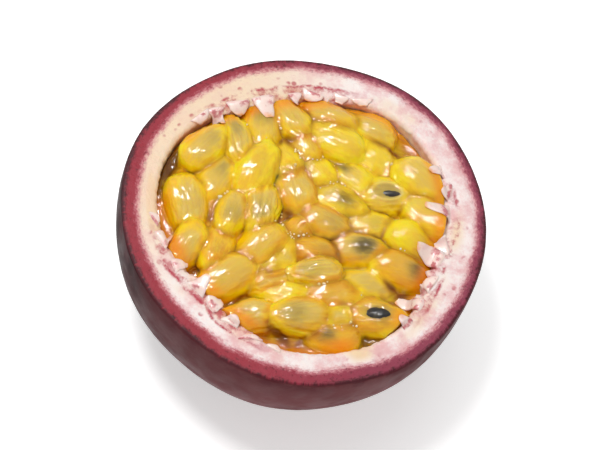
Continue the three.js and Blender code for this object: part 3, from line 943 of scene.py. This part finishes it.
def peel_profile():
    """The profile of the peel from the pole under the fruit, up the skin, across the cut and down the cavity.
    A radius is skin_share of the girth and cavity_share of the cavity's girth, plus an inset."""
    peel = chosen("peel")
    girth_height = CUT_HEIGHT - peel.girth_drop
    outer_reach = girth_height / dome_share(peel.rest_radius / CUT_RADIUS, 1.0)
    edge = float(dome_share(peel.girth_drop, outer_reach))
    mouth = float(dome_share(peel.girth_drop - peel.lip_round, cavity_reach()))
    points = SimpleNamespace(under=6, skin=74, band=9, rim=6, cut=44, lip=9, torn_wall=22, wall=12)
    torn_share = 0.35  # of the way down the wall that has finer steps
    rows = []

    def row(skin_share, cavity_share, inset, height, wave_share, outside, cut, lip, across):
        drop = (CUT_HEIGHT - height) / MM
        ridge = max(0.0, math.sin(math.pi * min(1.0, max(0.0, (drop + 0.1) / 2.8)))) if across == 1 else 0.0
        rows.append((skin_share, cavity_share, inset, height, wave_share, outside, cut, lip, across, ridge))

    for part in np.linspace(0, 1, points.under)[:-1]:
        row(part * peel.rest_radius / CUT_RADIUS, 0, 0, 0, 0, 1, 0, 0, 0)
    for turn in np.linspace(math.acos(girth_height / outer_reach), math.pi / 2, points.skin):
        drop = outer_reach * math.cos(turn)
        row(float(dome_share(drop, outer_reach)), 0, 0, girth_height - drop, 0, 1, 0, 0, 0)
    for part in np.linspace(0, 1, points.band)[1:]:
        height = girth_height + part * (CUT_HEIGHT - peel.rim_round - girth_height)
        row(float(dome_share(part * peel.girth_drop, outer_reach)), 0, 0, height, part, 1, 0, 0, 0)
    for turn in np.linspace(0, math.pi / 2, points.rim)[1:]:
        inset = -peel.rim_round * (1 - math.cos(turn))
        height = CUT_HEIGHT - peel.rim_round * (1 - math.sin(turn))
        row(edge, 0, inset, height, 1, float(turn < 0.5), 0.3, 0, 0)
    for part in np.linspace(0, 1, points.cut)[1:]:
        inset = part * peel.lip_round - (1 - part) * peel.rim_round
        row(edge * (1 - part), mouth * part, inset, CUT_HEIGHT, 1, 0, 1, part**4, part)
    for turn in np.linspace(math.pi / 2, 0, points.lip)[1:]:
        inset = peel.lip_round * (1 - math.cos(turn))
        row(0, mouth, inset, CUT_HEIGHT - peel.lip_round * (1 - math.sin(turn)), 1, 0, 1, 1, 1)
    wall_top = CUT_HEIGHT - peel.lip_round
    torn_wall = np.linspace(0, torn_share, points.torn_wall)[1:]
    for part in (*torn_wall, *np.linspace(torn_share, 1, points.wall)[1:]):
        height = wall_top + (peel.floor - wall_top) * math.sin(part * math.pi / 2) ** 1.2
        fade = max(0.0, 1 - part / 0.45)
        row(0, float(dome_share(height - girth_height, cavity_reach())), 0, height, fade, 0, fade, fade, 1)
    rows = np.array(rows, float)
    keys = "skin_share cavity_share inset height wave_share outside cut lip across ridge".split()
    corners = np.stack((rows[:, 0], rows[:, 3], 0 * rows[:, 0]), 1)
    return new_mesh("profile", corners, [(i, i + 1) for i in range(len(rows) - 1)], **dict(zip(keys, rows.T)))


def add_depth(mesh):
    """Stores at every corner how far it lies inside the skin, measured across the cut."""
    corners = corners_of(mesh)
    azimuth, radius = polar(corners)
    depth = np.maximum(0, girth_radius(azimuth) - radius)
    depth[corners[:, 2] < CUT_HEIGHT - 2 * MM] = chosen("peel").wall
    mark(mesh, depth=depth)


class FRUIT_OT_peel(bpy.types.Operator):
    """Makes the rind with its pith, one skin from the ground up over the cut and down the cavity"""

    bl_idname = "fruit.peel"
    bl_label = "Peel"

    def execute(self, context):
        peel, profile = chosen("peel"), peel_profile()
        sizes = {"ragged": peel.ragged, "torn": peel.torn, "dimple": peel.dimple}
        materials = {"skin": skin_material(), "pith": pith_material()}
        piece = grow(outline_loop(peel.facets), "peel", peel_tree(), profile=profile, **sizes, **materials)
        bpy.data.objects.remove(profile)
        add_depth(piece.data)
        settle_piece(piece, "shell")
        return {"FINISHED"}


# ------------------------------------------------------------------ arils
class Aril:
    """One seed sac: a drop along +X, pointed at -X, in its place."""

    def __init__(self, index, x, y):
        pulp = chosen("pulp")
        self.index, self.x, self.y = index, x, y
        size = 1 + pulp.size_spread * draw(index, 2)
        self.half = np.array((pulp.aril_length, pulp.aril_width, pulp.aril_depth)) / 2 * size
        root_x, root_y = self.nearest_root()[1]
        self.heading = math.atan2(y - root_y, x - root_x) + pulp.heading_spread * draw(index, 1)
        self.pin = None
        self.seen = LOW_SEEN  # how clearly it shows its seed
        self.tone = 0.5 + 0.5 * draw(index, 7)

    def nearest_root(self):
        """Distance to the middle of the nearest placenta, and its place."""
        return min((math.hypot(self.x - root[0], self.y - root[1]), root) for root in ROOTS)

    def reach(self, direction):
        """Distance from the middle to the outline, along a direction seen from above."""
        turn = direction - self.heading
        along, across, _ = self.half
        return along * across / math.hypot(across * math.cos(turn), along * math.sin(turn))

    def settle_in(self):
        """Gives the drop its height, tilt and warmth, which depend on how near it is to a placenta."""
        pulp = chosen("pulp")
        outward = math.hypot(self.x, self.y) / CUT_RADIUS
        away = self.nearest_root()[0]
        near_root = max(0.0, 1 - away / pulp.root_near)
        self.warm = max(0.0, WARM_SHARE - away / WARM_REACH)
        drop = pulp.drop + pulp.edge_drop * outward**3 - pulp.root_lift * near_root
        self.z = CUT_HEIGHT - drop + pulp.lift_spread * draw(self.index, 3)
        self.pitch = pulp.pitch_spread * draw(self.index, 4) - pulp.root_tilt * near_root

    def centre(self):
        return np.array((self.x - MIDDLE[0], self.y - MIDDLE[1], self.z))

    def turn(self):
        return Matrix.Rotation(self.heading, 3, "Z") @ Matrix.Rotation(-self.pitch, 3, "Y")

    def local(self, points):
        """Points as the drop sees them, from its middle and along its own axes."""
        return (points - self.centre()) @ np.array(self.turn())

    def closeness(self, points):
        """1 on the surface of the drop, less inside it."""
        pulp = chosen("pulp")
        local = self.local(points) / self.half
        girth = 1 + pulp.taper * np.clip(local[:, 0], -1, 1)
        local = np.abs(local)
        local[:, 1:] /= girth[:, None]
        return (local**pulp.fullness).sum(1) ** (1 / pulp.fullness)


def push_apart(a, b, settle_share):
    """Moves two arils that are too close half of the missing way apart."""
    direction = math.atan2(b.y - a.y, b.x - a.x)
    wanted = settle_share * (a.reach(direction) + b.reach(direction))
    push = max(0.0, wanted - math.hypot(b.x - a.x, b.y - a.y)) / 4
    for aril, way in ((a, -push), (b, push)):
        aril.x += way * math.cos(direction)
        aril.y += way * math.sin(direction)


def keep_in_cavity(aril, wall_share):
    azimuth = math.atan2(aril.y, aril.x)
    limit = cavity_girth(azimuth) - wall_share * aril.reach(azimuth)
    limit -= chosen("pulp").clearance * max(0.0, 1 - CLEARANCE_FADE * placenta_share(azimuth))
    radius = math.hypot(aril.x, aril.y)
    if radius > limit:
        aril.x *= limit / radius
        aril.y *= limit / radius


def sunflower(number, spread, first=0):
    """Arils spread evenly over the cavity on a sunflower's spiral."""
    arils = []
    for i in range(number):
        azimuth = (i + first) * GOLDEN_TURN
        radius = spread * cavity_girth(azimuth) * math.sqrt((i + 0.5) / number)
        arils.append(Aril(i + first, radius * math.cos(azimuth), radius * math.sin(azimuth)))
    return arils


def nearest_aril(arils, x, y):
    """The aril nearest to a place in millimetres from the axis of the fruit."""
    return min(arils, key=lambda a: math.hypot(a.x - x * MM, a.y - y * MM))


def top_arils():
    """The top layer, laid by the same rule as in the solids."""
    pulp = chosen("pulp")
    arils = sunflower(pulp.arils, pulp.start_spread)
    for x, y, heading in OPEN_SACS:
        opened = nearest_aril(arils, x, y)
        opened.pin = (x * MM, y * MM)
        opened.heading = math.radians(heading)
    for _ in range(pulp.settle_passes):
        for i, aril in enumerate(arils):
            for other in arils[i + 1 :]:
                push_apart(aril, other, pulp.settle_share)
            keep_in_cavity(aril, pulp.wall_share)
        for aril in arils:
            if aril.pin:
                aril.x, aril.y = aril.pin
    for aril in arils:
        aril.settle_in()
        aril.seen = 0.25 + 0.3 * draw(aril.index, 6)
    for x, y, clear in DARK_SEEDS:
        nearest_aril(arils, x, y).seen = clear
    return arils


def low_arils():
    """A layer below, which shows in the gaps of the top one."""
    pulp = chosen("pulp")
    arils = sunflower(pulp.low_arils, pulp.low_spread, LOW_FIRST)
    for aril in arils:
        keep_in_cavity(aril, 1.0)
        aril.settle_in()
        aril.z -= pulp.low_drop
    return arils


def opened_arils(arils):
    """The arils that the knife opened, in the order of their places."""
    return [nearest_aril(arils, x, y) for x, y, _ in OPEN_SACS]


def cavity_limit(corners):
    """Pulls corners that stand beyond the wall of the cavity back to it, less the gap."""
    peel, gap = chosen("peel"), chosen("pulp").gap
    azimuth, radius = polar(corners)
    height = np.clip(corners[:, 2], peel.floor + 2 * gap, CUT_HEIGHT - peel.lip_round)
    scale = np.minimum(1, cavity_radius(azimuth, height, gap) / np.maximum(radius, 1e-9))
    corners[:, :2] = (corners[:, :2] + MIDDLE) * scale[:, None] - MIDDLE
    corners[:, 2] = np.maximum(corners[:, 2], peel.floor + gap)
    return corners


def bed_mesh(steps=120, levels=8, hoops=16):
    """The core of the pulp: it fills the cavity up to the bed."""
    pulp = chosen("pulp")
    azimuth = np.arange(steps) * TURN / steps
    bed_height = CUT_HEIGHT - pulp.bed_drop
    rings = []
    for height in np.linspace(BED_BOTTOM, bed_height, levels):
        rings.append((cavity_radius(azimuth, height, pulp.gap), height))
    wall = rings[-1][0]
    for part in np.linspace(1, 0, hoops)[1:-1]:
        rings.append((wall * part, bed_height + pulp.bed_crown * (1 - part**2)))
    corners = [(0, 0, BED_BOTTOM)]
    for radius, height in rings:
        corners += zip(radius * np.cos(azimuth), radius * np.sin(azimuth), [height] * steps)
    corners.append((0, 0, bed_height + pulp.bed_crown))
    faces = []
    top = 1 + (len(rings) - 1) * steps
    for i in range(steps):
        j = (i + 1) % steps
        faces.append((0, 1 + j, 1 + i))
        for low in range(1, top, steps):
            high = low + steps
            faces.append((low + i, low + j, high + j, high + i))
        faces.append((top + i, top + j, len(corners) - 1))
    return new_mesh("bed", np.array(corners) - (*MIDDLE, 0), (), faces)


def melt(piece, other, voxel):
    """Joins a piece with another and gives both one skin."""
    with bpy.context.temp_override(active_object=piece, selected_editable_objects=[piece, other]):
        bpy.ops.object.join()
    skin = piece.modifiers.new("remesh", "REMESH")
    skin.mode = "VOXEL"
    skin.voxel_size = voxel
    skin.use_smooth_shade = True
    graph = bpy.context.evaluated_depsgraph_get()
    mesh = bpy.data.meshes.new_from_object(piece.evaluated_get(graph))
    piece.modifiers.clear()
    piece.data = mesh


def drop_underside(mesh):
    """Deletes the faces that lie deeper than any gap between the arils shows."""
    edit = bmesh.new()
    edit.from_mesh(mesh)
    hidden = [f for f in edit.faces if f.calc_center_median().z < UNDERSIDE]
    bmesh.ops.delete(edit, geom=hidden, context="FACES")
    edit.to_mesh(mesh)
    edit.free()


def wall_shade_share(corners):
    """How dark the painted shade of the juice is at the wall: 1 where the arils leave it, less elsewhere."""
    azimuth = np.degrees(polar(corners)[0])
    shade_share = np.full(len(corners), WALL_SHADE)
    for middle, half_width, dark in SHADED_WALL_GAPS:
        off = np.abs((azimuth - middle + 180) % 360 - 180) / half_width
        shade_share = np.maximum(shade_share, dark * np.exp(-(off**2)))
    return shade_share


def paint_arils(mesh, arils):
    """Fills the creases with juice, and stores at every corner where it lies in its aril."""
    pulp = chosen("pulp")
    hold = 1.7  # an aril reaches no corner that lies further off than this share of half its length
    fullest = 1 * MM  # of the juice in a crease
    rim_width = 2.2 * MM
    corners = corners_of(mesh)
    owner = np.full(len(corners), -1)
    inside = np.zeros_like(corners)
    first, second = np.full((2, len(corners)), FAR)  # distances to the nearest aril and to the next
    hard = np.clip(corners[:, 2] - (CUT_HEIGHT - pulp.bed_drop), 0, FAR)
    blend = np.exp(-hard / pulp.film)
    for i, aril in enumerate(arils):
        centre = aril.centre()
        away = np.hypot(corners[:, 0] - centre[0], corners[:, 1] - centre[1])
        near = np.nonzero(away < aril.half[0] * hold)[0]
        points = corners[near]
        close = np.maximum(aril.closeness(points), 1e-6)
        distance = np.clip((close - 1) / close * np.linalg.norm(points - centre, axis=1), 0, FAR)
        blend[near] += np.exp(-distance / pulp.film)
        hard[near] = np.minimum(hard[near], distance)
        nearest = distance < first[near]
        mine = near[nearest]
        second[near] = np.where(nearest, first[near], np.minimum(second[near], distance))
        first[mine] = distance[nearest]
        owner[mine] = i
        inside[mine] = aril.local(points[nearest]) / aril.half
    azimuth, radius = polar(corners)
    to_wall = np.clip(cavity_girth(azimuth) - radius, 0, FAR)
    x, y, _ = corners.T / MM  # some places hold more juice than others
    more = 0.9 + 0.4 * np.sin(1.3 * x + 0.6 * y) + 0.4 * np.sin(1.1 * y - 0.8 * x + 1) * np.sin(0.5 * x)
    soft = -pulp.film * np.log(blend)
    push = np.clip((hard - soft) * more, 0, fullest) + pulp.brim * np.exp(-to_wall / pulp.brim)
    corners += corners_of(mesh, "normal") * push[:, None]
    move_corners(mesh, cavity_limit(corners))
    ease(mesh, 2)

    rim = np.exp(-((to_wall / rim_width) ** 2))
    # gap holds how dark the painted shade is at the wall.
    mark(mesh, aril=owner, inside=inside, crease=(second - first) / MM, gap=wall_shade_share(corners), rim=rim)
    for key, bare in NO_ARIL.items():
        values = np.array([getattr(a, key) for a in arils])
        mark(mesh, **{key: np.where(owner >= 0, values[owner], bare)})


def open_windows(mesh, arils):
    """Sinks a window with a soft lip into each opened sac, and stores where both lie."""
    corners, normals = corners_of(mesh), corners_of(mesh, "normal")
    lip, hollow = np.zeros((2, len(corners)))
    lip_place, lip_width = 1.1, 0.13  # as shares of the window's size
    for aril, (long, wide, deep, high, dark) in zip(opened_arils(arils), WINDOWS):
        local = aril.local(corners)
        across = np.hypot(local[:, 0] / (long * MM), local[:, 1] / (wide * MM))
        above = (local[:, 2] > 0) & (across < 2)
        edge = np.where(above, np.exp(-(((across - lip_place) / lip_width) ** 2)), 0)
        sunk = np.where(above, np.clip(1.08 - across**2, 0, 1), 0)
        corners += normals * (MM * (high * edge - deep * sunk))[:, None]
        lip = np.maximum(lip, edge * 6 * high)
        hollow = np.maximum(hollow, dark * np.clip(3 * sunk, 0, 1))
    move_corners(mesh, corners)
    mark(mesh, lip=np.clip(lip, 0, 1), open=hollow)


class FRUIT_OT_arils(bpy.types.Operator):
    """Makes the seed sacs, stuck together by their juice and packed against the wall"""

    bl_idname = "fruit.arils"
    bl_label = "Arils"

    def execute(self, context):
        pulp, flesh, top = chosen("pulp"), aril_material(), top_arils()
        arils = top + low_arils()
        places = [a.centre() for a in arils]
        turns, sizes = [a.turn().to_euler() for a in arils], [a.half for a in arils]
        points = new_mesh("aril_points", places, aril=range(len(arils)), turn=turns, size=sizes)
        steps = {"segments": 36, "rings": 26}
        shape = {"fullness": pulp.fullness, "taper": pulp.taper, "lumps": pulp.lumps}
        piece = grow(points, "arils", aril_tree(), **steps, **shape, flesh=flesh)
        move_corners(piece.data, cavity_limit(corners_of(piece.data)))
        melt(piece, bed_mesh(), pulp.voxel)
        drop_underside(piece.data)
        ease(piece.data, 3)
        paint_arils(piece.data, arils)
        open_windows(piece.data, top)
        piece.data.materials.clear()
        piece = grow(piece, "arils", wrinkle_tree(), wrinkles=pulp.wrinkles, flesh=flesh)
        settle_piece(piece, "pulp")
        return {"FINISHED"}


# ------------------------------------------------------------------ bare seeds, torn teeth and bubbles
class FRUIT_OT_seeds(bpy.types.Operator):
    """Makes the bare seeds, in the sacs that the knife opened"""

    bl_idname = "fruit.seeds"
    bl_label = "Bare seeds"

    def execute(self, context):
        pulp = chosen("pulp")
        places, turns, sizes = [], [], []
        for aril, (long, wide, aside, high) in zip(opened_arils(top_arils()), BARE_SEEDS):
            along = Vector((math.cos(aril.heading), math.sin(aril.heading), 0))
            side = Vector((-along.y, along.x, 0)) * aside * MM
            above = Vector((aril.x - MIDDLE[0], aril.y - MIDDLE[1], LOOKOUT)) + side
            hit, place, normal, _ = bpy.data.objects["arils"].ray_cast(above, Vector((0, 0, -1)))
            if not hit:
                raise RuntimeError("no aril under a bare seed")
            across = normal.cross(along).normalized()
            size = Vector((long * pulp.seed_length, wide * pulp.seed_width, wide * pulp.seed_depth)) / 2
            places.append(place + normal * (2 * high - 1) * size.z)
            turns.append(Matrix((across.cross(normal), across, normal)).transposed().to_euler())
            sizes.append(size)
        points = new_mesh("seed_points", places, turn=turns, size=sizes)
        looks = {"pits": pulp.seed_pits, "coat": seed_material()}
        piece = grow(points, "seeds", seed_tree(), segments=40, rings=28, **looks)
        settle_piece(piece, "pulp")
        return {"FINISHED"}


def drape(mesh, grounds):
    """Lays flat things over what lies below them, their roots sunk into it."""
    corners = corners_of(mesh)
    along, thick = numbers_of(mesh, "along"), numbers_of(mesh, "thick")
    reach = 0.45 * MM  # sideways, to rest on the highest ground near by
    lift, sink = 0.05, 0.6  # millimetres over the ground, and into it at the root
    root_share = 0.2
    for i, (x, y, _) in enumerate(corners):
        heights = []
        for dx, dy in ((0, 0), (reach, 0), (-reach, 0), (0, reach), (0, -reach)):
            above = Vector((x + dx, y + dy, LOOKOUT))
            hits = [g.ray_cast(above, Vector((0, 0, -1))) for g in grounds]
            heights.append(max([place.z for hit, place, _, _ in hits if hit], default=CUT_HEIGHT))
        corners[i, 2] = max(heights) + thick[i] + (lift - sink * max(0, 1 - along[i] / root_share)) * MM
    move_corners(mesh, corners)
    ease(mesh, 3)


class FRUIT_OT_stalks(bpy.types.Operator):
    """Makes the torn teeth of pith that hang from the placentas over the arils"""

    bl_idname = "fruit.stalks"
    bl_label = "Torn pith"

    def execute(self, context):
        pulp, flatness = chosen("pulp"), 0.2
        places, turns, sizes = [], [], []
        for which, (middle, reach) in enumerate(zip(PLACENTA_AZIMUTHS, PLACENTA_TEETH)):
            for i in range(pulp.teeth):
                number = 40 * which + i
                aside = 2 * i / (pulp.teeth - 1) - 1 + 0.08 * draw(number, 11)
                azimuth = middle + pulp.tooth_spread * aside
                long = reach * pulp.tooth_length * (1 - 0.35 * aside**2) * (1 + 0.45 * draw(number, 13))
                radius = float(cavity_radius(azimuth, CUT_HEIGHT - 1 * MM)) + pulp.tooth_root
                x, y = radius * math.cos(azimuth) - MIDDLE[0], radius * math.sin(azimuth) - MIDDLE[1]
                places.append((x, y, CUT_HEIGHT))
                turns.append((0, 0, azimuth + math.pi + TOOTH_TURN * draw(number, 14)))
                width = pulp.tooth_width * (1 + 0.35 * draw(number, 16)) / 2
                sizes.append((long, width, flatness * width))
        points = new_mesh("tooth_points", places, turn=turns, size=sizes)
        looks = {"torn": pulp.tooth_torn, "flesh": tooth_material()}
        piece = grow(points, "stalks", tooth_tree(), sides=14, steps=16, **looks)
        drape(piece.data, [bpy.data.objects[name] for name in ("arils", "peel")])
        settle_piece(piece, "pulp")
        return {"FINISHED"}


class FRUIT_OT_beads(bpy.types.Operator):
    """Makes the bubbles of juice in the creases, pale so that they show as painted glints"""

    bl_idname = "fruit.beads"
    bl_label = "Bubbles of juice"

    def execute(self, context):
        pulp = chosen("pulp")
        ground = linked("ground", bpy.data.objects["arils"].data.copy())
        sizes = {"radius": pulp.bead, "each": pulp.beads_each, "lowest": BEAD_BOTTOM}
        piece = grow(ground, "beads", bead_tree(), draw=BEAD_DRAW, **sizes, juice=bead_material())
        settle_piece(piece, "pulp")
        return {"FINISHED"}


# ------------------------------------------------------------------ stage
FLOOR_HALF = 1.5  # half the side of the floor
LIT = Vector((0, 0, CUT_HEIGHT * 0.7))  # what the lamps point at
SIGHT = Vector((0, 0, CUT_HEIGHT - 3 * MM))  # what the camera looks at
# Round lamps: name, size, distance, power, azimuth, elevation, and whether it lights the fruit. The others
# only show in what is wet.
LAMPS = (
    ("key", 0.12, 0.6, 1.6, 195, 72, True),
    ("overhead", 0.6, 0.8, 1.3, 140, 76, True),
    ("glint", 0.12, 0.6, 1.6, 150, 66, False),
    ("low_glint", 0.09, 0.6, 1.2, 170, 54, False),
    ("high_glint", 0.07, 0.6, 0.8, 115, 76, False),
)


def aim(place, target, roll=0.0):
    """A placement that looks from a place to a target, turned about the line of sight."""
    look = (target - place).to_track_quat("-Z", "Y").to_matrix().to_4x4()
    return Matrix.Translation(place) @ look @ Matrix.Rotation(roll, 4, "Z")


def round_lamp(name, size, distance, power, azimuth, elevation, lights):
    data = bpy.data.lights.new(name, "AREA")
    data.shape = "DISK"
    data.size, data.energy = size, power
    lamp = linked(name, data)
    lamp.visible_diffuse, lamp.visible_glossy = lights, not lights
    azimuth, elevation = math.radians(azimuth), math.radians(elevation)
    flat = math.cos(elevation)
    away = Vector((flat * math.cos(azimuth), flat * math.sin(azimuth), math.sin(elevation)))
    lamp.matrix_world = aim(LIT + distance * away, LIT)


class FRUIT_OT_stage(bpy.types.Operator):
    """Lays the floor and sets up the lights and the camera"""

    bl_idname = "fruit.stage"
    bl_label = "Floor, lights and camera"

    def execute(self, context):
        stage, white = chosen("stage"), tuple(chosen("colours").ground)
        scene = context.scene
        scene.view_settings.view_transform = "Standard"
        corners = [(x * FLOOR_HALF, y * FLOOR_HALF, 0) for x, y in ((-1, -1), (1, -1), (1, 1), (-1, 1))]
        floor = new_mesh("floor", corners, (), [(0, 1, 2, 3)])
        shine = {"emission_color": white, "emission_strength": stage.glow}
        floor.data.materials.append(Painter("Pale floor", roughness=0.7, base_color=white, **shine).material)

        world = bpy.data.worlds.new("Studio")
        world.use_nodes = True
        background = world.node_tree.nodes["Background"]
        background.inputs["Color"].default_value = white
        background.inputs["Strength"].default_value = stage.sky
        scene.world = world
        for lamp in LAMPS:
            round_lamp(*lamp)

        camera = linked("camera", bpy.data.cameras.new("camera"))
        camera.data.lens = stage.lens
        away = Vector((0, -math.cos(stage.elevation), math.sin(stage.elevation)))
        camera.matrix_world = aim(SIGHT + stage.distance * away, SIGHT, stage.roll)
        scene.camera = camera
        return {"FINISHED"}


# ------------------------------------------------------------------ panel
OPERATORS = (
    FRUIT_OT_stage,
    FRUIT_OT_peel,
    FRUIT_OT_arils,
    FRUIT_OT_seeds,
    FRUIT_OT_stalks,
    FRUIT_OT_beads,
)
GROUPS = {"peel": PeelSizes, "pulp": PulpSizes, "colours": FruitColours, "stage": StageSettings}


class FRUIT_PT_panel(bpy.types.Panel):
    """Lists the pieces of the fruit"""

    bl_idname = "FRUIT_PT_panel"
    bl_label = "Passion fruit half"
    bl_space_type = "VIEW_3D"
    bl_region_type = "UI"
    bl_category = "Passion fruit"

    def draw(self, context):
        for operator in OPERATORS:
            self.layout.operator(operator.bl_idname)
        for group in GROUPS:
            box = self.layout.box()
            for key in chosen(group).bl_rna.properties.keys():
                if key not in ("rna_type", "name"):
                    box.prop(chosen(group), key)


def register():
    for key, group in GROUPS.items():
        bpy.utils.register_class(group)
        setattr(bpy.types.Scene, "fruit_" + key, PointerProperty(type=group))
    for made in (*OPERATORS, FRUIT_PT_panel):
        bpy.utils.register_class(made)


def unregister():
    for made in (FRUIT_PT_panel, *reversed(OPERATORS)):
        bpy.utils.unregister_class(made)
    for key, group in GROUPS.items():
        delattr(bpy.types.Scene, "fruit_" + key)
        bpy.utils.unregister_class(group)


def main():
    register()
    for operator in OPERATORS:
        area, name = operator.bl_idname.split(".")
        getattr(getattr(bpy.ops, area), name)()


if __name__ == "__main__":
    main()
